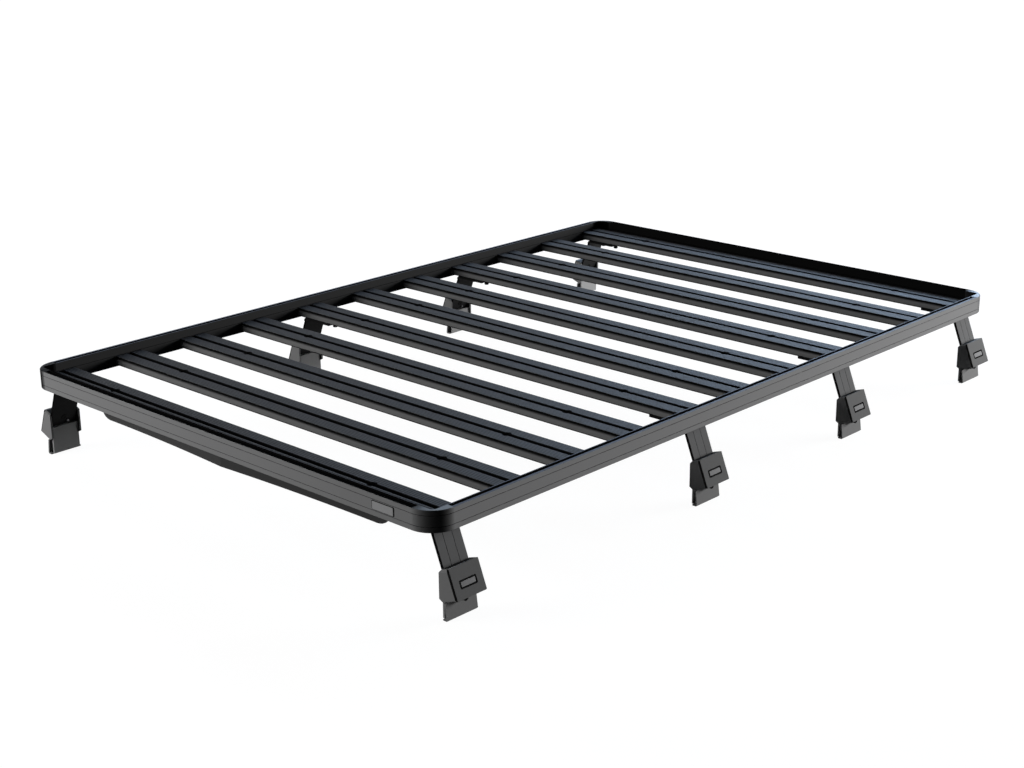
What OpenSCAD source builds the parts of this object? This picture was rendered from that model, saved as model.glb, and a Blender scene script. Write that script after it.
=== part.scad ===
// Flat platform roof rack: eleven cross slats in a frame of four rails,
// standing on eight sloped legs whose feet clamp the rain gutters of a roof.
// X is across the rack, Y along it with the front at -Y, Z up.
// The origin is under the middle of the rack, level with the feet.

/* [Platform] */

// Number of cross slats
slat_count = 11; // [3:1:14]
// Distance between the middles of two slats
slat_pitch = 202; // [150:1:260]
// Width of the platform over its rails
rack_w = 1427; // [1100:1:1600]
// From a rail's outer face to the middle of the nearest slat
end_margin = 73; // [66:1:90]
// Height of the rails' top above the bottom of the feet
stand_h = 237; // [225:1:300]

/* [Rails] */

// Height of a rail
rail_h = 48; // [42:0.5:55]
// Width of a rail's top face
rail_w = 19.8; // [18:0.1:26]
// Wall thickness of a rail
rail_wall = 2.6; // [2:0.1:3.2]
// Reach of the ledge under the slat ends
ledge_w = 6.5; // [5:0.5:9]
// Depth of the fine grooves in the faces
groove_d = 0.8; // [0.4:0.1:1.2]
// Width of the fine grooves in the faces
groove_w = 1.2; // [0.8:0.1:2]
// Bevel along the rails' outer edges
edge_bevel = 1.2; // [0.5:0.1:2]
// Outer radius of the corners
corner_r = 60; // [50:1:80]
// Radius inside the corners
corner_fillet = 11; // [6:1:12]
// Length of the front rail's badge recess
rail_recess_l = 67; // [50:1:80]
// From the middle of the rack to the middle of that recess
rail_recess_x = 571.5; // [300:0.5:600]

/* [Slots] */

// Width of the mouth of a bolt channel
mouth_w = 7.4; // [6:0.1:9]
// Thickness of the lips over a bolt channel
lip_t = 2.8; // [2.2:0.1:3.2]
// Inner width of a bolt channel in a slat
channel_w = 15; // [13:0.5:17]
// Inner depth of a bolt channel in a slat
channel_h = 7; // [5.5:0.5:7]
// Inner width of the bolt channel in a rail
rail_channel_w = 10.6; // [9.6:0.2:11.2]
// From a rail's inner face to the middle of its bolt channel
rail_mouth_in = 7.4; // [7:0.1:8.4]
// Diameter of the round gates that let a bolt head in
gate_d = 14; // [12:0.5:15]
// From the middle of a slat to each gate
gate_x = 459; // [200:1:520]

/* [Slats] */

// Width of a slat's top
slat_w = 79; // [70:1:90]
// From the rails' top down to the slats' top
slat_drop = 23; // [18:0.5:26]
// Wall thickness of a slat
slat_wall = 2; // [1.6:0.1:2.6]
// Height of the edge bead along a slat's top
bead_h = 3.6; // [2.5:0.1:5]

/* [Legs] */

// Slats that carry a pair of legs, counted from 0 at the front
leg_slats = [0, 4, 7, 10];
// Width of a leg
leg_w = 75; // [60:1:76]
// Thickness of a leg
leg_t = 7.5; // [6:0.5:9]
// Outward lean of a leg from upright, in degrees
leg_lean = 21.5; // [15:0.5:28]
// From a rail's outer face in to a leg, level with the rail's underside
leg_inset = 43; // [40:0.5:56]
// Inner radius of a leg's bend
bend_r = 7; // [5:1:12]
// From a rail's outer face to the inner end of a leg's flange
flange_reach = 144.5; // [120:0.5:180]
// Bevel along a leg's edges
leg_bevel = 3; // [1:0.1:3.5]

/* [Feet] */

// Thickness of a foot cover's cheeks
cheek_t = 5.4; // [4:0.1:7]
// Length of a foot cover down its slope
cover_l = 68; // [60:1:72]
// Thickness of a cover's outer plate
cover_t = 4; // [3:0.5:5]
// From a leg's outer face out to the face of its cover
cover_gap = 20.6; // [16:0.1:24]
// Height of the middle of a cover above the bottom of the feet
cover_up = 84; // [80:1:92]
// From the middle of a cover in to the back of its cheeks
cover_back = 38.5; // [35:0.5:41]
// Rounding of a cover's edges
cover_round = 3; // [2:0.5:3.5]
// Radius at the corners of a cover's outer plate
cover_corner = 5; // [3:0.5:8]
// Length of a cover's badge recess
recess_l = 45; // [38:1:56]
// Height of a cover's badge recess
recess_h = 16; // [12:1:18]
// Depth of the badge recesses
recess_d = 1.4; // [0.8:0.1:1.8]
// From the middle of a cover down to the middle of its recess
recess_drop = 4.9; // [0:0.1:8]
// Thickness of the inner jaw and the gutter hook
jaw_t = 4.5; // [4:0.5:6]
// From the side of a cover in to the side of its gutter hook
hook_inset = 0.2; // [0:0.1:4]
// Width of the gap that takes the lip of the gutter
gutter_gap = 10; // [8:0.5:12]
// Gap between a hook and its inner jaw, at the hook's top
neck_gap = 2; // [1:0.5:4]

/* [Wind fairing] */

// From the inner end of a leg's flange to the end of the fairing
fairing_gap = 57; // [20:1:150]
// Depth of the fairing below the slats, at its middle
fairing_h = 45; // [35:1:55]
// Extra depth at its ends
fairing_crown = 11; // [0:1:18]
// Backward sweep of its ends
fairing_sweep = 35; // [20:1:40]
// Thickness of the fairing's sheet
fairing_t = 3; // [2:0.5:4]

/* [Hidden] */

$fn = 48;
eps = 0.01;
cut = 2;
rack_l = (slat_count - 1) * slat_pitch + 2 * end_margin;
half_w = rack_w / 2;
half_l = rack_l / 2;
ledge_t = rail_wall;
slat_h = rail_h - slat_drop - ledge_t;
slat_l = rack_w - 2 * rail_w;
slat_z = stand_h - rail_h + ledge_t;
corner_fn = 96;

// Small forms of a slat's section: edges, the notch under its beads, its foot and its voids' walls
slat_bevel = 0.6;
bead_notch = 1.4;
slat_flare = 1;
void_wall = 3;

// Places down a rail's outer face, as parts of its height
groove_zs = [0.2375, 0.7435];
inner_groove_z = 0.458;
rail_recess_h = rail_h * (groove_zs[1] - groove_zs[0]) - 3 * groove_w;
mouth_u = rail_w - rail_mouth_in;

leg_out_x = half_w - leg_inset;
bend_mid = bend_r + leg_t / 2;
flange_z = slat_z - leg_t / 2;
bend_z = flange_z - bend_mid;
bend_x = leg_out_x + tan(leg_lean) * (stand_h - rail_h - bend_z) - (leg_t / 2 + bend_mid) / cos(leg_lean);

fit = 0.3;
cover_w = leg_w + 2 * (cheek_t + fit);
hook_w = cover_w - 2 * hook_inset;
cheek_cut = 14;
cover_deep = 80;
cover_x = leg_out_x + (stand_h - rail_h - cover_up) * tan(leg_lean) + cover_gap / cos(leg_lean);
cover_z = cover_up;
cheek_x = cover_x - cover_back;
jaw_step = 4;
web_drop = 14;
web_z = cover_z - web_drop;
web_t = 6;
slope_l = (bend_z - web_z) / cos(leg_lean) + 2 * leg_t;
jaw_x = cheek_x + jaw_step;
jaw_foot = 2;
hook_x = jaw_x + jaw_t + gutter_gap;
hook_neck_z = cover_z - cover_l / 2 - web_t * 2;
neck_side = 2;
lip_h = 3;
lip_gap = 1;
hook_rise = web_z - web_t - lip_h;
hook_slope = (gutter_gap - neck_gap) / hook_rise;

fairing_x = half_w - flange_reach - fairing_gap;
fairing_back = 24;
fairing_corner = [32, 20];

color_rail = [0.13, 0.13, 0.14];
color_slat = [0.10, 0.11, 0.13];
color_leg = [0.16, 0.16, 0.16];

function slat_y(i) = (i - (slat_count - 1) / 2) * slat_pitch;
function leg_y(k) = slat_y(min(leg_slats[k], slat_count - 1));
function in_cover(z) = cover_x + (cover_z - z) * tan(leg_lean) - (cover_t + fit) / cos(leg_lean);

// A rail's section: x runs in from the outer face, y up from the rail's underside
module rail_section(mouth = true) {
    difference() {
        polygon([
            [edge_bevel, 0], [rail_w + ledge_w, 0], [rail_w + ledge_w, ledge_t], [rail_w, ledge_t],
            [rail_w, rail_h], [edge_bevel, rail_h], [0, rail_h - edge_bevel], [0, edge_bevel]
        ]);
        for (part = groove_zs)
            translate([-cut, rail_h * (1 - part) - groove_w / 2]) square([cut + groove_d, groove_w]);
        translate([rail_w - groove_d, rail_h * (1 - inner_groove_z) - groove_w / 2])
            square([cut, groove_w]);
        translate([rail_wall, rail_wall])
            square([rail_w - 2 * rail_wall, rail_h - 3 * rail_wall - lip_t - channel_h]);
        if (mouth) {
            translate([mouth_u - mouth_w / 2, rail_h - lip_t - eps])
                square([mouth_w, lip_t + cut]);
            translate([mouth_u - rail_channel_w / 2, rail_h - lip_t - channel_h])
                square([rail_channel_w, channel_h]);
        }
    }
}

// A straight rail along Y on the right side, centred on the origin
module straight_rail(length) {
    translate([half_w, length / 2, stand_h - rail_h])
        rotate([90, 0, 0]) mirror([1, 0, 0]) linear_extrude(length) rail_section();
}

// The same rail turned to run across the rack at its rear
module cross_rail(length) {
    translate([0, half_l - half_w, 0]) rotate([0, 0, 90]) straight_rail(length);
}

// A cast corner at the rear right: round outside, nearly square inside
module corner_piece() {
    inner = corner_r - rail_w;
    translate([half_w - corner_r, half_l - corner_r, stand_h - rail_h])
        difference() {
            union() {
                linear_extrude(rail_h) difference() {
                    intersection() { circle(corner_r, $fn = corner_fn); square(corner_r); }
                    translate([-cut, -cut]) square([inner + cut, inner - corner_fillet + cut]);
                    translate([-cut, -cut]) square([inner - corner_fillet + cut, inner + cut]);
                    translate([inner - corner_fillet, inner - corner_fillet]) circle(corner_fillet);
                }
                linear_extrude(ledge_t) difference() {
                    square(inner + eps);
                    translate([-cut, -cut]) square(inner - ledge_w + cut);
                }
            }
            for (part = groove_zs)
                rotate_extrude(angle = 360, $fn = corner_fn)
                    translate([corner_r - groove_d, rail_h * (1 - part) - groove_w / 2])
                        square([groove_d + cut, groove_w]);
            for (top = [0, 1])
                translate([0, 0, top * rail_h]) mirror([0, 0, top])
                    rotate_extrude(angle = 360, $fn = corner_fn)
                        polygon([[corner_r - edge_bevel, -eps], [corner_r + cut, -eps],
                                 [corner_r + cut, edge_bevel + cut], [corner_r, edge_bevel]]);
        }
}

// A slat's section: x across it, y up from its underside
module slat_section() {
    half = slat_w / 2;
    side = channel_w / 2 + slat_wall;
    notch_y = slat_h - bead_h - slat_bevel;
    difference() {
        polygon([
            [-half - slat_flare, 0], [half + slat_flare, 0], [half, notch_y - slat_bevel],
            [half - bead_notch, notch_y], [half, notch_y + slat_bevel], [half, slat_h - slat_bevel],
            [half - slat_bevel, slat_h], [-half + slat_bevel, slat_h], [-half, slat_h - slat_bevel],
            [-half, notch_y + slat_bevel], [-half + bead_notch, notch_y], [-half, notch_y - slat_bevel]
        ]);
        for (top = [0, 1])
            translate([0, top * slat_h]) mirror([0, top]) {
                translate([-mouth_w / 2, -cut]) square([mouth_w, lip_t + cut + eps]);
                translate([-channel_w / 2, lip_t]) square([channel_w, channel_h]);
            }
        for (s = [-1, 1])
            translate([s * (side + half - void_wall) / 2, slat_h / 2])
                square([half - void_wall - side, slat_h - 2 * lip_t - void_wall], center = true);
    }
}

// One slat along X with its bolt channels and the two gates in its top
module slat(i) {
    color(color_slat) translate([0, slat_y(i), slat_z]) difference() {
        translate([-slat_l / 2, 0, 0]) rotate([90, 0, 90]) linear_extrude(slat_l) slat_section();
        for (s = [-1, 1])
            translate([s * gate_x, 0, slat_h - lip_t - cut]) cylinder(h = lip_t + 2 * cut, d = gate_d);
    }
}

// The side of a leg in X and Z: a flange, a bend in short steps, and the slope
module leg_outline() {
    steps = 8;
    turn = 90 - leg_lean;
    outer = bend_mid + leg_t / 2;
    inner = bend_mid - leg_t / 2;
    end_x = half_w - flange_reach - bend_x;
    down = [slope_l * sin(leg_lean), -slope_l * cos(leg_lean)];
    across = [cos(leg_lean), sin(leg_lean)];
    polygon(concat(
        [[end_x, inner], [end_x, outer]],
        [for (i = [0 : steps]) outer * [sin(turn * i / steps), cos(turn * i / steps)]],
        [outer * across + down, inner * across + down],
        [for (i = [steps : -1 : 0]) inner * [sin(turn * i / steps), cos(turn * i / steps)]]
    ));
}

// A right-hand leg with bevelled edges and two fine grooves down its slope
module leg_bar() {
    width = leg_bevel * sqrt(2);
    difference() {
        translate([bend_x, leg_w / 2, bend_z]) rotate([90, 0, 0]) linear_extrude(leg_w) leg_outline();
        translate([bend_x, 0, bend_z]) rotate([0, -leg_lean, 0]) translate([bend_mid, 0, -slope_l - cut]) {
            for (s = [-1, 1]) {
                translate([leg_t / 2 - groove_d, s * leg_w / 6 - groove_w / 2, 0])
                    cube([cut, groove_w, slope_l]);
                for (f = [-1, 1])
                    translate([f * leg_t / 2, s * leg_w / 2, 0]) rotate([0, 0, 45])
                        translate([-width / 2, -width / 2, 0]) cube([width, width, slope_l]);
            }
        }
        translate([half_w - flange_reach, -leg_w, web_z - slope_l])
            cube([2 * flange_reach, 2 * leg_w, slope_l]);
    }
}

// The tool for a badge recess with round corners, sunk from the XY plane
module badge_recess(length, height) {
    r = height / 6;
    translate([0, 0, -recess_d]) linear_extrude(recess_d + cut) {
        square([length - 2 * r, height], center = true);
        square([length, height - 2 * r], center = true);
        for (x = [-1, 1], y = [-1, 1])
            translate([x * (length / 2 - r), y * (height / 2 - r)]) circle(r, $fn = 24);
    }
}

// The tool that rounds the four corners of a cover, seen square on its outer plate
module corner_tool() {
    for (across = [0, 1], up = [0, 1])
        mirror([across, 0]) mirror([0, up])
            translate([cover_w / 2 - cover_corner, cover_l / 2 - cover_corner]) difference() {
                square(cover_corner + cut);
                circle(cover_corner, $fn = 24);
            }
}

// A cover's outline from the side in X and Z, left open past the outer plate
module cheek_outline() {
    run = cover_l / 2;
    past = 8;
    c = cos(leg_lean);
    s = sin(leg_lean);
    back = (cover_back + run * s) / c - cheek_cut;
    foot = -run * c - back * s;
    polygon([
        [-cover_back, run * c - cheek_cut], [-cover_back + cheek_cut / 3, run * c - cheek_cut / 2],
        [-run * s, run * c], [-run * s + past * c, run * c + past * s],
        [run * s + past * c, -run * c + past * s], [run * s - back * c, foot],
        [-cover_back, foot + cheek_cut / 2]
    ]);
}

// A cover's section across its slope, with the outer edges round
module cover_section() {
    r = cover_round;
    translate([-cover_deep, -cover_w / 2]) square([cover_deep - r, cover_w]);
    translate([-cover_deep, -cover_w / 2 + r]) square([cover_deep, cover_w - 2 * r]);
    for (s = [-1, 1]) translate([-r, s * (cover_w / 2 - r)]) circle(r);
}

// A right-hand foot cover: an outer plate with its badge recess, two cheeks,
// and a top wall that reaches in to the leg
module cover_shell() {
    inner = cover_w - 2 * cheek_t;
    translate([cover_x, 0, cover_z]) difference() {
        intersection() {
            rotate([0, -leg_lean, 0]) translate([0, 0, -cover_l])
                linear_extrude(2 * cover_l) cover_section();
            translate([0, cover_w, 0]) rotate([90, 0, 0]) linear_extrude(2 * cover_w) cheek_outline();
        }
        rotate([0, -leg_lean, 0]) {
            translate([-cover_deep - cover_t, -inner / 2, -cover_l])
                cube([cover_deep, inner, 1.5 * cover_l - cover_t]);
            translate([-cover_deep - cover_gap, -inner / 2, 0]) cube([cover_deep, inner, cover_l]);
            translate([0, 0, -recess_drop]) rotate([90, 0, 90]) badge_recess(recess_l, recess_h);
            translate([-cover_deep, 0, 0]) rotate([90, 0, 90]) linear_extrude(2 * cover_deep) corner_tool();
        }
    }
}

// A right-hand inner jaw: a plate that stands in the gutter and a web inside the cover
module jaw_bar() {
    translate([0, leg_w / 2, 0]) rotate([90, 0, 0]) linear_extrude(leg_w) polygon([
        [jaw_x, jaw_foot], [jaw_x + jaw_t, jaw_foot], [jaw_x + jaw_t, web_z - web_t],
        [in_cover(web_z - web_t), web_z - web_t], [in_cover(web_z), web_z],
        [jaw_x, web_z]
    ]);
}

// A right-hand gutter hook: a leaning plate with a lip that turns in under the gutter
module hook_bar() {
    foot_x = hook_x + jaw_t;
    neck = (hook_neck_z - lip_h) * hook_slope;
    top = hook_rise * hook_slope;
    translate([0, hook_w / 2, 0]) rotate([90, 0, 0]) linear_extrude(hook_w) polygon([
        [foot_x - neck, hook_neck_z], [foot_x, lip_h], [foot_x - lip_h, 0],
        [jaw_x + jaw_t + lip_gap, 0], [jaw_x + jaw_t + lip_gap, lip_h], [hook_x, lip_h + lip_gap],
        [hook_x - neck, hook_neck_z]
    ]);
    translate([0, leg_w / 2 - neck_side, 0]) rotate([90, 0, 0])
        linear_extrude(leg_w - 2 * neck_side) polygon([
            [foot_x - neck, hook_neck_z - eps], [hook_x - neck, hook_neck_z - eps],
            [hook_x - top, web_z - web_t], [foot_x - top, web_z - web_t]
        ]);
}

// Puts a right-hand piece at leg pair k, turned round to the left when side is -1
module at_leg(k, side) {
    translate([0, leg_y(k), 0]) rotate([0, 0, side < 0 ? 180 : 0]) children();
}

module leg(k, side) { color(color_leg) at_leg(k, side) leg_bar(); }
module foot_cover(k, side) { color(color_rail) at_leg(k, side) cover_shell(); }
module gutter_hook(k, side) { color(color_leg) at_leg(k, side) hook_bar(); }
module inner_jaws(side) {
    color(color_leg) for (k = [0 : len(leg_slats) - 1]) at_leg(k, side) jaw_bar();
}

module left_rail() { color(color_rail) mirror([1, 0, 0]) straight_rail(rack_l - 2 * corner_r); }
module right_rail() { color(color_rail) straight_rail(rack_l - 2 * corner_r); }
module rear_rail() { color(color_rail) cross_rail(rack_w - 2 * corner_r); }
module front_rail() {
    color(color_rail) difference() {
        mirror([0, 1, 0]) cross_rail(rack_w - 2 * corner_r);
        translate([rail_recess_x, -half_l, stand_h - rail_h * (groove_zs[0] + groove_zs[1]) / 2])
            rotate([90, 0, 0]) badge_recess(rail_recess_l, rail_recess_h);
    }
}
module front_left_corner() { color(color_rail) mirror([0, 1, 0]) mirror([1, 0, 0]) corner_piece(); }
module front_right_corner() { color(color_rail) mirror([0, 1, 0]) corner_piece(); }
module rear_left_corner() { color(color_rail) mirror([1, 0, 0]) corner_piece(); }
module rear_right_corner() { color(color_rail) corner_piece(); }

// The fairing's shape seen from the front, with its crowned lower edge and round ends
module fairing_outline() {
    steps = 6;
    spans = 10;
    start = fairing_x - fairing_corner[0];
    foot = -fairing_h - fairing_crown;
    polygon(concat(
        [[-fairing_x, 0]],
        [for (i = [steps : -1 : 1]) [-start - fairing_corner[0] * sin(90 * i / steps),
                                     foot + fairing_corner[1] * (1 - cos(90 * i / steps))]],
        [for (i = [-spans : spans]) [i * start / spans, -fairing_h - fairing_crown * pow(i / spans, 2)]],
        [for (i = [1 : steps]) [start + fairing_corner[0] * sin(90 * i / steps),
                                foot + fairing_corner[1] * (1 - cos(90 * i / steps))]],
        [[fairing_x, 0]]
    ));
}

// A strip that follows the fairing's swept plan, from the sheet's face back by depth
module fairing_plan(depth) {
    polygon([[0, 0], [fairing_x, fairing_sweep], [fairing_x, fairing_sweep + depth], [0, depth],
             [-fairing_x, fairing_sweep + depth], [-fairing_x, fairing_sweep]]);
}

// The wind fairing under the front slat: a swept sheet with a flange along its top
module wind_fairing() {
    deep = fairing_h + fairing_crown + cut;
    color(color_leg) translate([0, slat_y(0) - slat_w / 2 - fairing_t / 2, slat_z]) {
        intersection() {
            translate([0, 0, -deep]) linear_extrude(deep) fairing_plan(fairing_t);
            translate([0, fairing_sweep + fairing_back, 0]) rotate([90, 0, 0])
                linear_extrude(2 * (fairing_sweep + fairing_back)) fairing_outline();
        }
        translate([0, 0, -fairing_t]) linear_extrude(fairing_t) fairing_plan(fairing_back);
    }
}

front_rail();
rear_rail();
left_rail();
right_rail();
front_left_corner();
front_right_corner();
rear_left_corner();
rear_right_corner();
slat(0);  // slat_1
slat(1);  // slat_2
slat(2);  // slat_3
slat(3);  // slat_4
slat(4);  // slat_5
slat(5);  // slat_6
slat(6);  // slat_7
slat(7);  // slat_8
slat(8);  // slat_9
slat(9);  // slat_10
slat(10);  // slat_11
leg(0, -1);  // leg_left_1
leg(1, -1);  // leg_left_2
leg(2, -1);  // leg_left_3
leg(3, -1);  // leg_left_4
leg(0, 1);  // leg_right_1
leg(1, 1);  // leg_right_2
leg(2, 1);  // leg_right_3
leg(3, 1);  // leg_right_4
foot_cover(0, -1);  // foot_cover_left_1
foot_cover(1, -1);  // foot_cover_left_2
foot_cover(2, -1);  // foot_cover_left_3
foot_cover(3, -1);  // foot_cover_left_4
foot_cover(0, 1);  // foot_cover_right_1
foot_cover(1, 1);  // foot_cover_right_2
foot_cover(2, 1);  // foot_cover_right_3
foot_cover(3, 1);  // foot_cover_right_4
gutter_hook(0, -1);  // gutter_hook_left_1
gutter_hook(1, -1);  // gutter_hook_left_2
gutter_hook(2, -1);  // gutter_hook_left_3
gutter_hook(3, -1);  // gutter_hook_left_4
gutter_hook(0, 1);  // gutter_hook_right_1
gutter_hook(1, 1);  // gutter_hook_right_2
gutter_hook(2, 1);  // gutter_hook_right_3
gutter_hook(3, 1);  // gutter_hook_right_4
inner_jaws(-1);  // inner_jaws_left
inner_jaws(1);  // inner_jaws_right
wind_fairing();
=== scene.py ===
# Studio scene for a flat platform roof rack: finishes, fittings, light and camera
import math
import bmesh
import bpy
import numpy as np
from mathutils import Matrix, Vector


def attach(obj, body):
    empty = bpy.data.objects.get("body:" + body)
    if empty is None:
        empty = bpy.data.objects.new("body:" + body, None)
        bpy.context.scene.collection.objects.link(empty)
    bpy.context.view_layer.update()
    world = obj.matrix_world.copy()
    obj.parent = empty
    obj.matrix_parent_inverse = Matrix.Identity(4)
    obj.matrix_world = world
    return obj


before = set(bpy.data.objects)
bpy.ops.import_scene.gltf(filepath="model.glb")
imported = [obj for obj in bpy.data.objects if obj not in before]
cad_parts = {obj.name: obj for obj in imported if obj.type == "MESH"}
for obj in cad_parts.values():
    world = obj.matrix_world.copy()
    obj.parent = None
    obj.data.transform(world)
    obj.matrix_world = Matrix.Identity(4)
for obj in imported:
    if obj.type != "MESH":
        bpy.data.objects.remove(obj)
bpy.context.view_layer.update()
print("frame: %d nodes" % len(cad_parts))


class Wire:
    # a shader socket that can be added, subtracted and multiplied like a number
    def __init__(self, tree, socket):
        self.tree, self.socket = tree, socket

    def node(self, kind, settings=None, inputs=None, out=0):
        made = self.tree.nodes.new(kind)
        for key, value in (settings or {}).items():
            setattr(made, key, value)
        for key, value in (inputs or {}).items():
            if isinstance(value, Wire):
                self.tree.links.new(value.socket, made.inputs[key])
            else:
                made.inputs[key].default_value = value
        return Wire(self.tree, made.outputs[out])

    def maths(self, operation, first, second):
        return self.node("ShaderNodeMath", {"operation": operation}, {0: first, 1: second})

    def over(self, other):
        return self.maths("DIVIDE", self, other)

    def size(self):
        return self.node("ShaderNodeMath", {"operation": "ABSOLUTE"}, {0: self})

    def __add__(self, other):
        return self.maths("ADD", self, other)

    def __radd__(self, other):
        return self.maths("ADD", other, self)

    def __sub__(self, other):
        return self.maths("SUBTRACT", self, other)

    def __rsub__(self, other):
        return self.maths("SUBTRACT", other, self)

    def __mul__(self, other):
        return self.maths("MULTIPLY", self, other)

    def __rmul__(self, other):
        return self.maths("MULTIPLY", other, self)

    def clamped(self, low, high):
        return self.node("ShaderNodeClamp", None, {0: self, 1: low, 2: high})

    def mixed(self, dark, light):  # a colour between two, by this value
        return self.node("ShaderNodeMix", {"data_type": "RGBA"}, {0: self, 6: dark, 7: light}, 2)


def newMaterial(name):
    material = bpy.data.materials.new(name)
    material.use_nodes = True
    tree = material.node_tree
    tree.nodes.clear()
    shader = tree.nodes.new("ShaderNodeBsdfPrincipled")
    output = tree.nodes.new("ShaderNodeOutputMaterial")
    tree.links.new(shader.outputs[0], output.inputs[0])
    place = tree.nodes.new("ShaderNodeTexCoord")
    return material, tree, shader, Wire(tree, place.outputs["Object"])


def outputOf(tree):
    return next(node for node in tree.nodes if node.type == "OUTPUT_MATERIAL")


def setInput(tree, shader, name, value):
    # links a wire to a shader's input, or sets the input to a fixed value
    if isinstance(value, Wire):
        tree.links.new(value.socket, shader.inputs[name])
    else:
        shader.inputs[name].default_value = value


# the rack's own measures in metres, as the CAD has them
rack = {"halfWide": 0.7135, "halfLong": 1.083, "top": 0.237, "rail": 0.0198, "railHigh": 0.048,
        "slots": 0.0124, "slotWide": 0.0106, "slotDeep": 0.0098, "slats": 11, "pitch": 0.202,
        "grooves": (0.2375, 0.7435), "innerGroove": 0.458, "grooveWide": 0.0012, "cornerRadius": 0.06,
        "slatWide": 0.079, "slatTop": 0.214, "slatHigh": 0.0224, "slatLong": 1.3874, "mouth": 0.0074,
        "channel": 0.015, "gate": 0.014, "gateAt": 0.459, "legs": (0, 4, 7, 10), "legWide": 0.075,
        "legThick": 0.0075, "legBevel": 0.003, "legAt": 0.6705, "lean": math.radians(21.5),
        "coverWide": 0.0864, "coverRound": 0.003, "coverX": 0.734, "coverZ": 0.084}
slatY = (np.arange(rack["slats"]) - 5) * rack["pitch"]
legY = slatY[list(rack["legs"])]

# the ribs along a slat's top: their pitch and height, the rims along the slot and round a gate that they keep
# clear of and where shade is painted, the share of their colour in a valley, which is painted shade, and on a
# crest, which is a painted highlight, and their coat
ribs = {"pitch": 0.0058, "height": 0.0004, "lift": 0.00005, "edge": 0.0009, "steps": 8, "stations": 90,
        "rim": 0.0031, "gateRim": 0.0045, "nearGate": 21, "valley": 0.15, "crest": 1.3,
        "colour": (0.036, 0.038, 0.042), "spread": 0.06, "rough": 0.50, "gloss": 0.03, "grain": 1.1,
        "depth": 0.05}
ribStart, ribEnd = rack["mouth"] / 2 + ribs["rim"], rack["slatWide"] / 2 - ribs["edge"]
ribCount = int((ribEnd - ribStart) / ribs["pitch"])
gateReach = rack["gate"] / 2 + ribs["gateRim"]

# colour, spread of its tone, roughness, share of gloss, grain size in mm and its height; then the share of
# the colour that is left where shade is painted on inner faces, tops and a cover's outer plate, how much
# painted shade a corner's bend takes, and the colour and gloss of the smoother coat on a top, whose lighter,
# bluer colour is a painted sheen
finishes = {
    "rail": {"colour": (0.194, 0.194, 0.195), "spread": 0.06, "rough": 0.55, "gloss": 0.0, "grain": 1.1,
             "height": 0.05, "inner": 0.03, "top": 0.02},
    "side rail": {"colour": (0.202, 0.202, 0.203), "spread": 0.06, "rough": 0.55, "gloss": 0.0, "grain": 1.1,
                  "height": 0.05, "inner": 0.12, "top": 0.8, "sheen": (0.078, 0.088, 0.112),
                  "sheenGloss": 0.02},
    "corner": {"colour": (0.190, 0.190, 0.191), "spread": 0.06, "rough": 0.50, "gloss": 0.0, "grain": 1.3,
               "height": 0.05, "inner": 0.10, "top": 0.3, "bend": 0.75, "sheen": (0.130, 0.145, 0.160),
               "sheenGloss": 0.08},
    # a darker copy of the corner coat: painted shade on the left corners
    "shaded left corner": {"colour": (0.130, 0.130, 0.131), "spread": 0.06, "rough": 0.50, "gloss": 0.0,
                    "grain": 1.3, "height": 0.05, "inner": 0.10, "top": 0.3, "bend": 2.0,
                    "sheen": (0.018, 0.020, 0.022), "sheenGloss": 0.02},
    "slat": {"colour": (0.137, 0.137, 0.137), "spread": 0.06, "rough": 0.50, "gloss": 0.0, "grain": 1.1,
             "height": 0.05},
    "leg": {"colour": (0.117, 0.117, 0.118), "spread": 0.08, "rough": 0.55, "gloss": 0.03, "grain": 1.0,
            "height": 0.08},
    "foot_cover": {"colour": (0.168, 0.168, 0.168), "spread": 0.08, "rough": 0.55, "gloss": 0.03,
                   "grain": 1.0, "height": 0.10, "plate": 0.68},
    "jaw": {"colour": (0.156, 0.156, 0.156), "spread": 0.08, "rough": 0.50, "gloss": 0.04, "grain": 1.2,
            "height": 0.06},
    # a lighter copy of the jaw coat: painted light on the inner jaws
    "inner jaw": {"colour": (0.250, 0.250, 0.250), "spread": 0.08, "rough": 0.50, "gloss": 0.04, "grain": 1.2,
                  "height": 0.06},
    "fairing": {"colour": (0.038, 0.038, 0.038), "spread": 0.05, "rough": 0.50, "gloss": 0.03, "grain": 1.2,
                "height": 0.05},
}
black = 0.03  # how much of a coat's colour is left where shade is painted: channels, grooves, edges, inner faces
anywhere = 10.0  # metres, beyond every part of the rack

# margins of the painted shade in metres, and the slopes and shares of its fades into the plain coat
shadeMarks = {"skin": 0.0002, "under": 0.0004, "slack": 0.0003, "slotRim": 0.0014, "grooveEdge": 0.00002,
         "outerSkin": 0.001, "innerSkin": 0.0011, "innerEdge": 0.0001, "leastBend": 0.1, "cornerRamp": 2.2,
         "fadeFrom": 0.0048, "fadeSlope": 180.0, "footHigh": 0.0022, "footShade": 0.92, "beadDeep": 0.0028,
         "grooveSkin": 0.0001, "innerLegShade": 0.9, "cheekEdge": 0.0048, "cheekWide": 0.0381,
         "cheekDeep": 0.0045}


def within(value, low, high):
    # 1 where the value lies between low and high
    return value.maths("GREATER_THAN", value, low) * value.maths("LESS_THAN", value, high)


def around(value, middle, reach):
    # 1 where the value lies no further than the reach from a middle
    return within(value, middle - reach, middle + reach)


def axes(place):
    # X, Y and Z of the place, then Y as the distance from the nearest slat's middle
    parts = place.node("ShaderNodeSeparateXYZ", None, {0: place})
    x, y, z = (Wire(place.tree, out) for out in parts.socket.node.outputs)
    half = rack["pitch"] / 2
    fold = y.node("ShaderNodeMath", {"operation": "WRAP"}, {0: y, 1: half, 2: -half})
    return x.size(), y.size(), z, fold.size()


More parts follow.
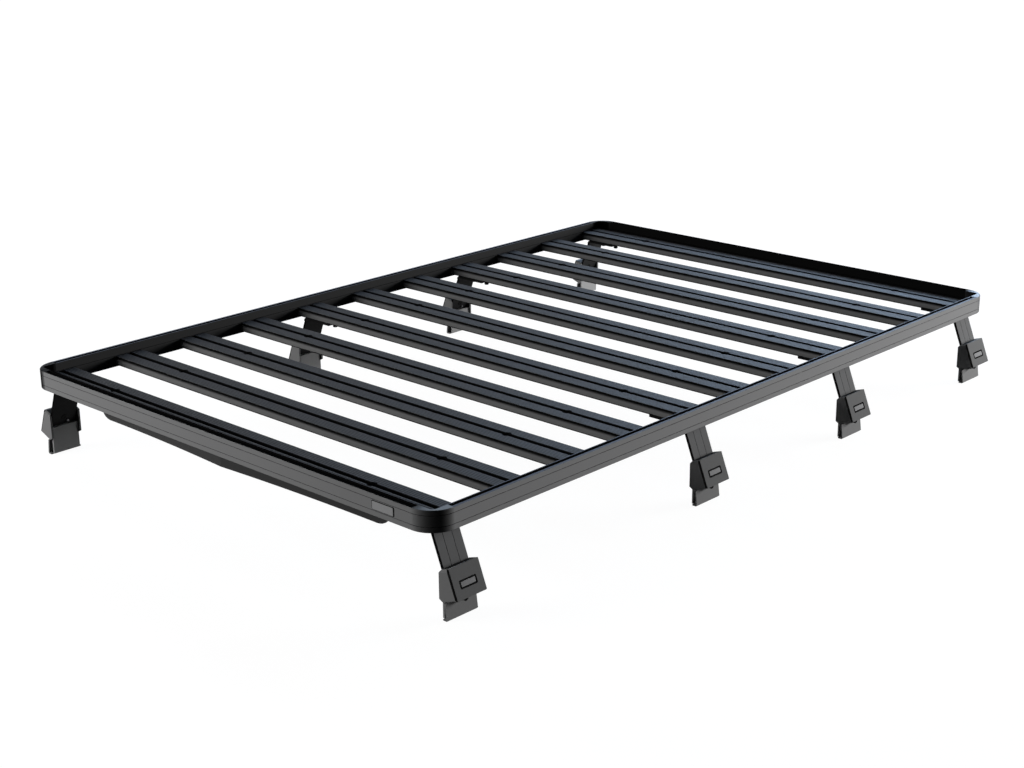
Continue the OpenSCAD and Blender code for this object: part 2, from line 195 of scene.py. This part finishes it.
def railShade(place, look):
    # how much of the colour is left under painted shade, then the mask of that painted shade: the bolt
    # channel, its rims and the fine grooves are painted dark, the inner faces and the tops are painted
    # darker, and so is the middle of a corner's bend
    x, y, z, _ = axes(place)
    fromSide, fromEnd = rack["halfWide"] - x, rack["halfLong"] - y
    depth = fromSide.maths("MINIMUM", fromSide, fromEnd)
    below = rack["top"] - z
    radius = rack["cornerRadius"]
    straight = (within(fromSide, radius, anywhere) + within(fromEnd, radius, anywhere)).clamped(0.0, 1.0)
    hollow = around(depth, rack["slots"], rack["slotWide"] / 2 + shadeMarks["skin"])
    hollow = hollow * within(below, shadeMarks["under"], rack["slotDeep"] + shadeMarks["slack"])
    rim = around(depth, rack["slots"], rack["mouth"] / 2 + shadeMarks["slotRim"])
    hollow = hollow + rim * within(below, -anywhere, shadeMarks["under"])
    half = rack["grooveWide"] / 2 - shadeMarks["grooveEdge"]
    upper, lower, inner = [rack["railHigh"] * part for part in (*rack["grooves"], rack["innerGroove"])]
    groove = around(below, upper, half) + around(below, lower, half)
    groove = groove * within(depth, -anywhere, rack["rail"] - shadeMarks["outerSkin"])
    face = rack["rail"] - shadeMarks["innerSkin"]
    groove = groove + around(below, inner, half) * within(depth, face, rack["rail"] - shadeMarks["innerEdge"])
    dark = (hollow * straight + groove).clamped(0.0, 1.0)
    inside = within(depth, face, anywhere) * within(below, shadeMarks["skin"], anywhere)
    top = within(below, -anywhere, shadeMarks["skin"])
    share = (1.0 - (1.0 - black) * dark) * (1.0 - (1.0 - look["inner"]) * inside)
    if "bend" in look:  # twice the sine times the cosine of the angle round the corner
        # painted shade, darkest in the middle of the corner's bend
        across, along = radius - fromSide, radius - fromEnd
        turn = (2.0 * across * along).over(across * across + along * along)
        share = share * (1.0 - look["bend"] * turn.clamped(0.0, 1.0)).clamped(shadeMarks["leastBend"], 1.0)
        # the painted sheen on a corner's top fades in from the front or rear rail towards the side rail
        ramp = (shadeMarks["cornerRamp"] * across).over(across + along).clamped(0.0, 1.0)
        dark = 1.0 - (1.0 - dark) * ramp
    return share * (1.0 - (1.0 - look["top"]) * top), dark


def slatShade(place, look):
    # painted shade in the bolt channel, round the slot and its gates and at the lower edge, fading below the
    # bead
    x, _, z, across = axes(place)
    down = rack["slatTop"] - z
    hollow = within(across, -anywhere, rack["channel"] / 2 + shadeMarks["slack"])
    hollow = hollow * within(down, shadeMarks["under"], rack["slatHigh"] - shadeMarks["under"])
    rim = within(across, -anywhere, rack["mouth"] / 2 + ribs["rim"])
    aside = x - rack["gateAt"]
    gate = within(aside * aside + across * across, -anywhere, gateReach ** 2)
    dark = 1.0 - (1.0 - black) * (hollow + rim + gate).clamped(0.0, 1.0)
    # a painted fade of shade below the bead, and painted shade along the slat's lower edge
    fade = ((down - shadeMarks["fadeFrom"]) * shadeMarks["fadeSlope"]).clamped(black, 1.0)
    fade = fade * (1.0 - shadeMarks["footShade"] * within(down, rack["slatHigh"] - shadeMarks["footHigh"], anywhere))
    side = within(across, rack["slatWide"] / 2 - shadeMarks["beadDeep"], anywhere)
    side = side * within(down, shadeMarks["slack"], anywhere)
    return dark * (1.0 - side + side * fade), 1.0 - dark


def legShade(place, look):
    # painted shade along the bevelled edges, in the two grooves of the outer face and on the inner face
    x, _, z, across = axes(place)
    lean = rack["lean"]
    out = math.cos(lean) * (x - rack["legAt"]) + math.sin(lean) * (z - (rack["top"] - rack["railHigh"]))
    line, half = rack["legWide"] / 6, rack["grooveWide"] / 2
    groove = around(across, line, half) * within(out, -rack["legThick"] / 2, -shadeMarks["grooveSkin"])
    edge = within(across, rack["legWide"] / 2 - rack["legBevel"] + shadeMarks["skin"], anywhere)
    inner = within(out, -anywhere, shadeMarks["slack"] - rack["legThick"])
    dark = (groove + edge + shadeMarks["innerLegShade"] * inner).clamped(0.0, 1.0)
    return 1.0 - (1.0 - black) * dark, dark


def coverShade(place, look):
    # painted shade along the round edges between the outer plate and the cheeks and inside the cover, and a
    # lighter one over the outer plate
    x, _, z, across = axes(place)
    lean = rack["lean"]
    out = math.cos(lean) * (x - rack["coverX"]) + math.sin(lean) * (z - rack["coverZ"])
    edge = within(across, rack["coverWide"] / 2 - rack["coverRound"] + shadeMarks["under"], anywhere)
    edge = edge * within(out, -shadeMarks["cheekEdge"], -shadeMarks["skin"])
    inside = within(across, -anywhere, shadeMarks["cheekWide"]) * within(out, -anywhere, -shadeMarks["cheekDeep"])
    dark = (edge + inside).clamped(0.0, 1.0)
    # painted shade over the whole outer plate
    plate = within(out, -shadeMarks["slack"], anywhere)
    return (1.0 - (1.0 - black) * dark) * (1.0 - (1.0 - look["plate"]) * plate), dark


# how the coats vary: sizes of their patches and flecks, how far these carry the tone and the roughness, and
# the height in metres that a bump of strength 1 stands for
grains = {"cloud": 5.0, "fleck": 260.0, "cloudTone": 3.0, "fleckTone": 2.5, "cloudRough": 0.10,
          "grainRough": 0.06, "roughest": 0.9, "smoothest": 0.1, "bump": 0.0004, "tone": 0.2,
          "fineRough": 0.2}


def noise(place, scale, detail):
    return place.node("ShaderNodeTexNoise", None, {"Vector": place, "Scale": scale, "Detail": detail})


def toned(colour, spread):
    # a colour darker and lighter by a share of itself
    return (*[c * (1 - spread) for c in colour], 1), (*[c * (1 + spread) for c in colour], 1)


def powderCoat(name, look, darken=None):
    # a satin coat: a grain of tiny bumps, broad patches of tone and a little change in its roughness
    material, tree, shader, place = newMaterial(name)
    grain = noise(place, 1000 / look["grain"], 2.0)
    cloud = noise(place, grains["cloud"], 3.0)
    fleck = noise(place, grains["fleck"], 2.0)
    tone = grains["cloudTone"] * (cloud - 0.5) + grains["fleckTone"] * (fleck - 0.5)
    tone = (0.5 + look["spread"] * tone).clamped(0.0, 1.0)
    colour = tone.mixed(*toned(look["colour"], 2 * look["spread"]))
    # the shade function paints shade into the colour, by the share it gives
    if darken:
        share, dark = darken(place, look)
        colour = colour.node("ShaderNodeVectorMath", {"operation": "SCALE"}, {0: colour, 3: share})
    setInput(tree, shader, "Base Color", colour)
    rough = look["rough"] + grains["cloudRough"] * (cloud - 0.5) + grains["grainRough"] * (grain - 0.5)
    rough = rough.clamped(grains["smoothest"], grains["roughest"])
    setInput(tree, shader, "Roughness", rough)
    bump = place.node("ShaderNodeBump", None, {"Strength": look["height"], "Distance": grains["bump"],
                                               "Height": grain})
    setInput(tree, shader, "Normal", bump)
    setInput(tree, shader, "Specular IOR Level", look["gloss"])
    # a smoother coat on the top, whose lighter, bluer colour is a painted sheen, kept off the painted shade
    if "sheen" in look:  # a coat of its own on the top
        smooth = tree.nodes.new("ShaderNodeBsdfPrincipled")
        setInput(tree, smooth, "Base Color", tone.mixed(*toned(look["sheen"], grains["tone"])))
        setInput(tree, smooth, "Specular IOR Level", look["sheenGloss"])
        setInput(tree, smooth, "Roughness", rough)
        setInput(tree, smooth, "Normal", bump)
        top = within(axes(place)[2], rack["top"] - shadeMarks["skin"], anywhere) * (1.0 - dark)
        both = place.node("ShaderNodeMixShader", None, {0: top, 1: Wire(tree, shader.outputs[0]),
                                                        2: Wire(tree, smooth.outputs[0])})
        tree.links.new(both.socket, outputOf(tree).inputs[0])
    return material


# the small fittings: colour, roughness, share of gloss and of metal, and the scale of their flecks
fittings = {
    "black steel": {"colour": (0.005, 0.005, 0.0055), "rough": 0.45, "gloss": 0.03, "metal": 0, "fleck": 400},
    "bright steel": {"colour": (0.20, 0.20, 0.21), "rough": 0.4, "gloss": 0.3, "metal": 0.6, "fleck": 400},
    "dark rubber": {"colour": (0.004, 0.004, 0.004), "rough": 0.7, "gloss": 0.05, "metal": 0, "fleck": 400},
    "badge plate": {"colour": (0.20, 0.20, 0.203), "rough": 0.4, "gloss": 0.1, "metal": 0, "fleck": 900},
    "rail plate": {"colour": (0.27, 0.27, 0.273), "rough": 0.4, "gloss": 0.1, "metal": 0, "fleck": 900},
}


def plainCoat(name, look):
    # a finish for small fittings, with a fine change of tone and roughness
    material, tree, shader, place = newMaterial(name)
    fleck = noise(place, look["fleck"], 2.0)
    setInput(tree, shader, "Base Color", fleck.mixed(*toned(look["colour"], grains["tone"])))
    setInput(tree, shader, "Roughness", look["rough"] + grains["fineRough"] * (fleck - 0.5))
    setInput(tree, shader, "Specular IOR Level", look["gloss"])
    setInput(tree, shader, "Metallic", look["metal"])
    return material


shadeOf = {"rail": railShade, "side rail": railShade, "corner": railShade, "slat": slatShade,
           "shaded left corner": railShade, "leg": legShade, "foot_cover": coverShade}
coats = {name: powderCoat("coat " + name, look, shadeOf.get(name)) for name, look in finishes.items()}
small = {name: plainCoat(name, look) for name, look in fittings.items()}


def slotOf(node):
    # the finish a CAD node takes, from its name
    for start, slot in (("slat_", "slat"), ("leg_", "leg"), ("foot_cover_", "foot_cover"),
                        ("gutter_hook_", "jaw"), ("inner_jaws_", "inner jaw"), ("wind_fairing", "fairing")):
        if node.startswith(start):
            return slot
    if node in ("left_rail", "right_rail"):
        return "side rail"
    if node.endswith("_corner"):
        return "shaded left corner" if "left" in node else "corner"
    return "rail"


for name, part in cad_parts.items():
    part.data.materials.clear()
    part.data.materials.append(coats[slotOf(name)])
print("finishes: %d" % (len(coats) + len(small)))


def gridFaces(rows, columns, joined=False):
    # quads between the neighbours of a grid, joined round its columns where that is asked
    i, j = np.meshgrid(np.arange(rows - 1), np.arange(columns - (0 if joined else 1)), indexing="ij")
    after = (j + 1) % columns
    return np.stack([i * columns + j, i * columns + after, (i + 1) * columns + after,
                     (i + 1) * columns + j], -1).reshape(-1, 4)


def addPiece(name, shapes, coat, sharp=35):
    # one object out of a list of (points, faces), with its doubles merged and its faces outwards
    start, points, faces = 0, [], []
    for somePoints, someFaces in shapes:
        points.append(somePoints.reshape(-1, 3))
        faces.append(someFaces + start)
        start += len(points[-1])
    mesh = bpy.data.meshes.new(name)
    mesh.from_pydata(np.concatenate(points).tolist(), [], np.concatenate(faces).tolist())
    work = bmesh.new()
    work.from_mesh(mesh)
    bmesh.ops.remove_doubles(work, verts=work.verts, dist=1e-6)
    bmesh.ops.recalc_face_normals(work, faces=work.faces)
    work.to_mesh(mesh)
    work.free()
    mesh.shade_smooth()
    mesh.set_sharp_from_angle(angle=math.radians(sharp))
    mesh.materials.append(coat)
    made = bpy.data.objects.new(name, mesh)
    bpy.context.scene.collection.objects.link(made)
    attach(made, "root")


def hexagon(angle, apothem):
    # radius of a hexagon at an angle: its apothem over the cosine of the angle from the nearest flat's middle
    return apothem / np.cos((angle + np.pi / 6) % (np.pi / 3) - np.pi / 6)


def turned(rings, sides=48):
    # a turned or hexagonal shape about Z: each ring is (how far from round to hexagon, radius, height),
    # and its radius is that mix of a circle and a hexagon
    angle = np.arange(sides) * 2 * np.pi / sides
    points = []
    for hexShare, radius, height in rings:
        reach = (1 - hexShare) * radius + hexShare * hexagon(angle, radius)
        points.append(np.stack([reach * np.cos(angle), reach * np.sin(angle), np.full(sides, height)], -1))
    return np.array(points), gridFaces(len(rings), sides, True)


def placed(shape, at, axis):
    # the same shape with its Z axis turned to an axis and its foot moved to a point
    points, faces = shape
    away = np.array(axis, float) / np.linalg.norm(axis)
    side = np.cross(away, (0.0, 1.0, 0.0))
    side = side / np.linalg.norm(side) if np.linalg.norm(side) > 1e-6 else np.array((1.0, 0.0, 0.0))
    turn = np.stack([side, np.cross(away, side), away])
    return points @ turn + np.array(at), faces


def ribbedStrip(y, side):
    # half a slat's top: the height is a raised cosine of the distance across, and the inner
    # edge keeps to the channel's mouth, or to a gate's circle where that reaches further out
    near = np.linspace(-1, 1, ribs["nearGate"]) * gateReach
    ends = rack["slatLong"] / 2
    along = np.unique(np.concatenate([np.linspace(-ends, ends, ribs["stations"]),
                                      near - rack["gateAt"], near + rack["gateAt"]]))
    gate = np.sqrt(np.clip(gateReach ** 2 - (np.abs(along) - rack["gateAt"]) ** 2, 0, None))
    inner = np.maximum(ribStart, gate)
    across = np.linspace(ribStart, ribEnd, ribCount * ribs["steps"] + 1)
    wave = 0.5 - 0.5 * np.cos(2 * np.pi * ribCount * (across - ribStart) / (ribEnd - ribStart))
    reach = np.maximum(across[None, :], inner[:, None])
    height = np.where(across[None, :] < inner[:, None], 0.0, wave[None, :]) * ribs["height"] + ribs["lift"]
    points = np.stack([np.broadcast_to(along[:, None], reach.shape), y + side * reach,
                       rack["slatTop"] + height], -1)
    return points, gridFaces(len(along), len(across))


def ribShade(place, look):
    # painted shade in the valleys and a painted highlight on the crests, by the same raised cosine as the
    # ribs' height
    across = axes(place)[3]
    turn = (2 * math.pi * ribCount / (ribEnd - ribStart)) * (across - ribStart)
    wave = 0.5 - 0.5 * turn.node("ShaderNodeMath", {"operation": "COSINE"}, {0: turn})
    share = ribs["valley"] + (ribs["crest"] - ribs["valley"]) * wave
    return share, share


ribMaterial = powderCoat("coat ribbed top", dict(ribs, height=ribs["depth"]), ribShade)
for k, y in enumerate(slatY):
    strips = [ribbedStrip(y, side) for side in (-1, 1)]
    addPiece("slat_%d_ribs" % (k + 1), strips, ribMaterial, 180)
print("ribbed tops: %d" % len(slatY))

# the bolts of the legs and clamps, and a grommet and a small screw on each leg; sizes in metres
bolts = {"flangeAt": (0.584, 0.636), "flangeZ": 0.1841, "headRadius": 0.0065, "flangeHead": 0.0115,
         "clampHead": 0.011, "washerRadius": 0.0088, "washerHole": 0.0042, "washerThick": 0.0016,
         "socket": 0.0030, "bevel": 0.0008, "clampZ": 0.0415, "clampX": 0.7165, "socketFloor": 0.4,
         "washerBreak": 0.25}
grommet = {"at": 0.0905, "radius": 0.0075, "hole": 0.0026, "thick": 0.0012}
screw = {"at": 0.0785, "aside": 0.012, "radius": 0.0028, "high": 0.0042, "socket": 0.0012, "bevel": 0.0006}


def socketHead(radius, high, socket, bevel):
    # a cap screw's head: straight side, bevelled rim and a hexagon socket
    low = high * bolts["socketFloor"]
    return turned([(0, 0, 0), (0, radius, 0), (0, radius, high - bevel), (0, radius - bevel, high),
                   (1, socket, high), (1, socket, low), (0, 0, low)])


def washer(radius, hole, thick):
    # a flat ring with its edges broken, carried round and closed on itself
    edge = thick * bolts["washerBreak"]
    return turned([(0, hole, edge), (0, hole + edge, 0), (0, radius - edge, 0), (0, radius, edge),
                   (0, radius, thick - edge), (0, radius - edge, thick), (0, hole + edge, thick),
                   (0, hole, thick - edge), (0, hole, edge)])


boltWasher = washer(bolts["washerRadius"], bolts["washerHole"], bolts["washerThick"])


def flangeBolt(at):
    # a washer with a cap screw's head below it, hanging from a leg's flange
    low = np.array(at) - (0, 0, bolts["washerThick"])
    head = socketHead(bolts["headRadius"], bolts["flangeHead"], bolts["socket"], bolts["bevel"])
    return [placed(boltWasher, at, (0, 0, -1)), placed(head, low, (0, 0, -1))]


def onInnerFace(side, y, z):
    # a place on a leg's inner face at a height, and the way that face looks
    down = rack["top"] - rack["railHigh"] - z
    x = rack["legAt"] + down * math.tan(rack["lean"]) - rack["legThick"] / math.cos(rack["lean"])
    return (side * x, y, z), (-side * math.cos(rack["lean"]), 0, -math.sin(rack["lean"]))


for side, word in ((-1, "left"), (1, "right")):
    for k, y in enumerate(legY):
        shapes = [shape for x in bolts["flangeAt"] for shape in flangeBolt((side * x, y, bolts["flangeZ"]))]
        addPiece("flange_bolts_%s_%d" % (word, k + 1), shapes, small["black steel"])
        head = socketHead(bolts["headRadius"], bolts["clampHead"], bolts["socket"], bolts["bevel"])
        proud = side * (bolts["clampX"] + bolts["washerThick"])
        clamp = [placed(boltWasher, (side * bolts["clampX"], y, bolts["clampZ"]), (side, 0, 0)),
                 placed(head, (proud, y, bolts["clampZ"]), (side, 0, 0))]
        addPiece("clamp_bolt_%s_%d" % (word, k + 1), clamp, small["black steel"])
        ring = washer(grommet["radius"], grommet["hole"], grommet["thick"])
        ring = placed(ring, *onInnerFace(side, y, grommet["at"]))
        addPiece("leg_grommet_%s_%d" % (word, k + 1), [ring], small["dark rubber"])
        tip = socketHead(screw["radius"], screw["high"], screw["socket"], screw["bevel"])
        tip = placed(tip, *onInnerFace(side, y - side * screw["aside"], screw["at"]))
        addPiece("leg_screw_%s_%d" % (word, k + 1), [tip], small["bright steel"])
print("bolts")


# bare plates in the recesses of the covers and of the front rail, each on a dark seat that is painted shade
# in the gaps round the plate and on a rim round the recess: the recess, the gaps that are left round the
# plate, its crown, and how far the seat's rim reaches out and stands proud
badges = {"cover": {"long": 0.045, "high": 0.016, "left": 0.0026, "right": 0.0026, "below": 0.0026,
                    "above": 0.0026, "deep": 0.0014, "crown": 0.0004, "rim": 0.0012, "proud": 0.0002,
                    "drop": 0.0049},
          "rail": {"long": 0.067, "high": 0.02069, "left": 0.0005, "right": 0.0046, "below": 0.0006,
                   "above": 0.0024, "deep": 0.0014, "crown": 0.0, "rim": 0.0, "proud": -0.0001,
                   "x": 0.5715, "down": 0.4905}}
plates = {"sunk": 0.0002, "edge": 0.0004, "slack": 0.0001, "corner": 1 / 6, "seat": 0.5}


def roundRect(long, high, radius, count=64):
    # the outline of a rectangle with round corners: each corner's centre plus a quarter circle
    angle = (np.arange(count) + 0.5) * 2 * np.pi / count
    way = np.stack([np.cos(angle), np.sin(angle)], -1)
    return np.sign(way) * (long / 2 - radius, high / 2 - radius) + radius * way


def plateOutline(look, grow=0.0):
    # a plate's outline inside its recess, with the gaps that are left round it
    long = look["long"] - look["left"] - look["right"]
    high = look["high"] - look["below"] - look["above"]
    middle = ((look["left"] - look["right"]) / 2, (look["below"] - look["above"]) / 2)
    return roundRect(long + 2 * grow, high + 2 * grow, high * plates["corner"]) + middle, np.array(middle)


def badgePlate(look):
    # a plate with a rounded rim and a slight crown: rings shrink from the outline to the middle
    rim, middle = plateOutline(look)
    top, crown = look["deep"] - plates["sunk"], look["crown"]
    levels = [(0.0, 0.0), (1.0, 0.0), (1.0, top - plates["edge"]), (0.985, top), (0.7, top + crown * 0.5),
              (0.35, top + crown * 0.9), (0.0, top + crown)]
    rings = [np.column_stack([middle + (rim - middle) * share, np.full(len(rim), height)])
             for share, height in levels]
    return np.array(rings), gridFaces(len(rings), len(rim), True)


def badgeShadeSeat(look):
    # the dark seat round a plate, painted shade: a frame from the plate's outline out over the recess's edge
    radius, slack = look["high"] * plates["corner"], plates["slack"]
    outer = roundRect(look["long"] + 2 * look["rim"], look["high"] + 2 * look["rim"], radius)
    edge = roundRect(look["long"] - slack, look["high"] - slack, radius)
    inner = plateOutline(look, slack)[0]
    top, low = look["deep"] + look["proud"], look["deep"] * plates["seat"]
    rings = [(edge, 0.0), (edge, look["deep"]), (outer, look["deep"]), (outer, top), (edge, top), (edge, low),
             (inner, low), (inner, 0.0), (edge, 0.0)]
    return (np.array([np.column_stack([rim, np.full(len(rim), height)]) for rim, height in rings]),
            gridFaces(len(rings), len(outer), True))


def fitted(shape, middle, along, out):
    # a flat shape moved to a face: its X along the face, its Z out of it
    points, faces = shape
    along, out = np.array(along, float), np.array(out, float)
    return points @ np.stack([along, np.cross(out, along), out]) + np.array(middle), faces


lean = rack["lean"]
look = badges["cover"]
for side, word in ((-1, "left"), (1, "right")):
    out = (side * math.cos(lean), 0, math.sin(lean))
    down = np.array((side * math.sin(lean), 0, -math.cos(lean)))
    for k, y in enumerate(legY):
        middle = np.array((side * rack["coverX"], y, rack["coverZ"])) + down * look["drop"]
        middle = middle - np.array(out) * look["deep"]
        plate = fitted(badgePlate(look), middle, (0, side, 0), out)
        addPiece("badge_plate_%s_%d" % (word, k + 1), [plate], small["badge plate"])
        seat = fitted(badgeShadeSeat(look), middle, (0, side, 0), out)
        addPiece("badge_seat_%s_%d" % (word, k + 1), [seat], small["dark rubber"])
look = badges["rail"]
middle = (look["x"], -rack["halfLong"] + look["deep"], rack["top"] - rack["railHigh"] * look["down"])
plate = fitted(badgePlate(look), middle, (1, 0, 0), (0, -1, 0))
addPiece("badge_plate_rail", [plate], small["rail plate"])
seat = fitted(badgeShadeSeat(look), middle, (1, 0, 0), (0, -1, 0))
addPiece("badge_shade_seat_rail", [seat], small["dark rubber"])
print("badge plates")

# the floor's colour to the camera and as a bounce card, the world's light, the floor's half size in metres,
# how much of the floor is plain white near the rack, that white's strength, and from where and how fast
# it grows with the distance
stageLook = {"floor": 0.86, "bounce": 0.05, "world": (0.9, 0.95, 1.0), "ambient": 0.02, "size": 120.0,
             "share": 0.90, "white": 1.06, "farFrom": 2.0, "farSlope": 0.4}


def flatPlane(name, corners):
    # one face through four corners
    mesh = bpy.data.meshes.new(name)
    mesh.from_pydata(corners, [], [(0, 1, 2, 3)])
    made = bpy.data.objects.new(name, mesh)
    bpy.context.scene.collection.objects.link(made)
    return made


def floorMaterial(look):
    # white to the camera and in reflections, over a lit part that keeps the soft shadow; darker as a
    # bounce card for the rest of the light
    material, tree, shader, place = newMaterial("pale floor")
    ray = place.node("ShaderNodeLightPath")
    glossy = Wire(tree, ray.socket.node.outputs["Is Glossy Ray"])
    clear = Wire(tree, ray.socket.node.outputs["Is Transmission Ray"])
    away = place.node("ShaderNodeVectorMath", {"operation": "LENGTH"}, {0: place}, 1)
    far = ((away - look["farFrom"]) * look["farSlope"]).clamped(0.0, 1.0)
    seen = ((look["share"] + (1.0 - look["share"]) * far) * ray + glossy + clear).clamped(0.0, 1.0)
    setInput(tree, shader, "Base Color", ray.mixed((*[look["bounce"]] * 3, 1), (*[look["floor"]] * 3, 1)))
    setInput(tree, shader, "Specular IOR Level", 0.0)
    setInput(tree, shader, "Roughness", 0.9)
    white = place.node("ShaderNodeEmission", None, {"Color": (1, 1, 1, 1), "Strength": look["white"]})
    both = place.node("ShaderNodeMixShader", None, {0: seen, 1: Wire(tree, shader.outputs[0]), 2: white})
    tree.links.new(both.socket, outputOf(tree).inputs[0])
    return material


half = stageLook["size"]
floor = flatPlane("floor", [(-half, -half, 0), (half, -half, 0), (half, half, 0), (-half, half, 0)])
floor.data.materials.append(floorMaterial(stageLook))

# white to the camera, in reflections and through glass, and a faint blue light for the rest
world = bpy.data.worlds.new("studio")
bpy.context.scene.world = world
world.use_nodes = True
back = world.node_tree.nodes["Background"]
seen = Wire(world.node_tree, world.node_tree.nodes.new("ShaderNodeLightPath").outputs["Is Camera Ray"])
clear = Wire(world.node_tree, seen.socket.node.outputs["Is Transmission Ray"])
shine = Wire(world.node_tree, seen.socket.node.outputs["Is Glossy Ray"])
seen = (seen + clear + shine).clamped(0.0, 1.0)
tone = seen.mixed((*stageLook["world"], 1), (1, 1, 1, 1))
world.node_tree.links.new(tone.socket, back.inputs[0])
world.node_tree.links.new((stageLook["ambient"] + (1.0 - stageLook["ambient"]) * seen).socket, back.inputs[1])

# where each lamp stands, what it looks at, its size in metres, power in watts and colour; a lamp for gloss
# only shows in reflections, and the others only light the coats
lamps = {
    "front": {"at": (-1.9, -3.7, 1.2), "to": (-0.2, -0.6, 0.1), "size": (2.4, 1.2), "power": 118,
              "colour": (1, 1, 1), "gloss": False},
    "left": {"at": (-6.2, 0.8, 1.0), "to": (0.0, 0.0, 0.1), "size": (3.0, 1.6), "power": 330,
             "colour": (1, 1, 1), "gloss": False},
    "right": {"at": (3.0, 5.2, 0.9), "to": (0.7, 0.0, 0.1), "size": (3.0, 1.4), "power": 700,
              "colour": (1, 1, 1), "gloss": False},
    "rear": {"at": (-1.4, 6.3, 3.6), "to": (0.2, 0.2, 0.1), "size": (4.6, 2.6), "power": 405,
             "colour": (0.56, 0.74, 1.0), "gloss": False},
    "sheen": {"at": (-1.4, 6.3, 3.6), "to": (0.2, 0.2, 0.1), "size": (4.6, 2.6), "power": 1500,
              "colour": (0.56, 0.74, 1.0), "gloss": True},
}
for name, lamp in lamps.items():
    light = bpy.data.lights.new(name, "AREA")
    light.shape = "RECTANGLE"
    light.size, light.size_y = lamp["size"]
    light.energy, light.color = lamp["power"], lamp["colour"]
    made = bpy.data.objects.new(name, light)
    made.location = lamp["at"]
    made.rotation_euler = (Vector(lamp["to"]) - Vector(lamp["at"])).to_track_quat("-Z", "Y").to_euler()
    made.visible_camera = False
    made.visible_glossy = lamp["gloss"]
    made.visible_diffuse = not lamp["gloss"]
    bpy.context.scene.collection.objects.link(made)

# the photograph's viewpoint, fitted to the rack's own edges
view = {"at": (2.957169, -3.216243, 1.525121), "right": (0.727504, 0.686022, -0.010605),
        "up": (-0.208104, 0.235364, 0.949366), "lens": 1726.97 * 36 / 1024,
        "shift": (-0.5 / 1024, 0.5 / 1024)}
camera = bpy.data.objects.new("camera", bpy.data.cameras.new("camera"))
right, up = Vector(view["right"]), Vector(view["up"])
turn = Matrix((right, up, right.cross(up))).transposed().to_4x4()
camera.matrix_world = Matrix.Translation(view["at"]) @ turn
camera.data.sensor_width, camera.data.lens = 36, view["lens"]
camera.data.shift_x, camera.data.shift_y = view["shift"]
bpy.context.scene.collection.objects.link(camera)
bpy.context.scene.camera = camera
bpy.context.scene.view_settings.view_transform = "Standard"
print("stage, lamps and camera")
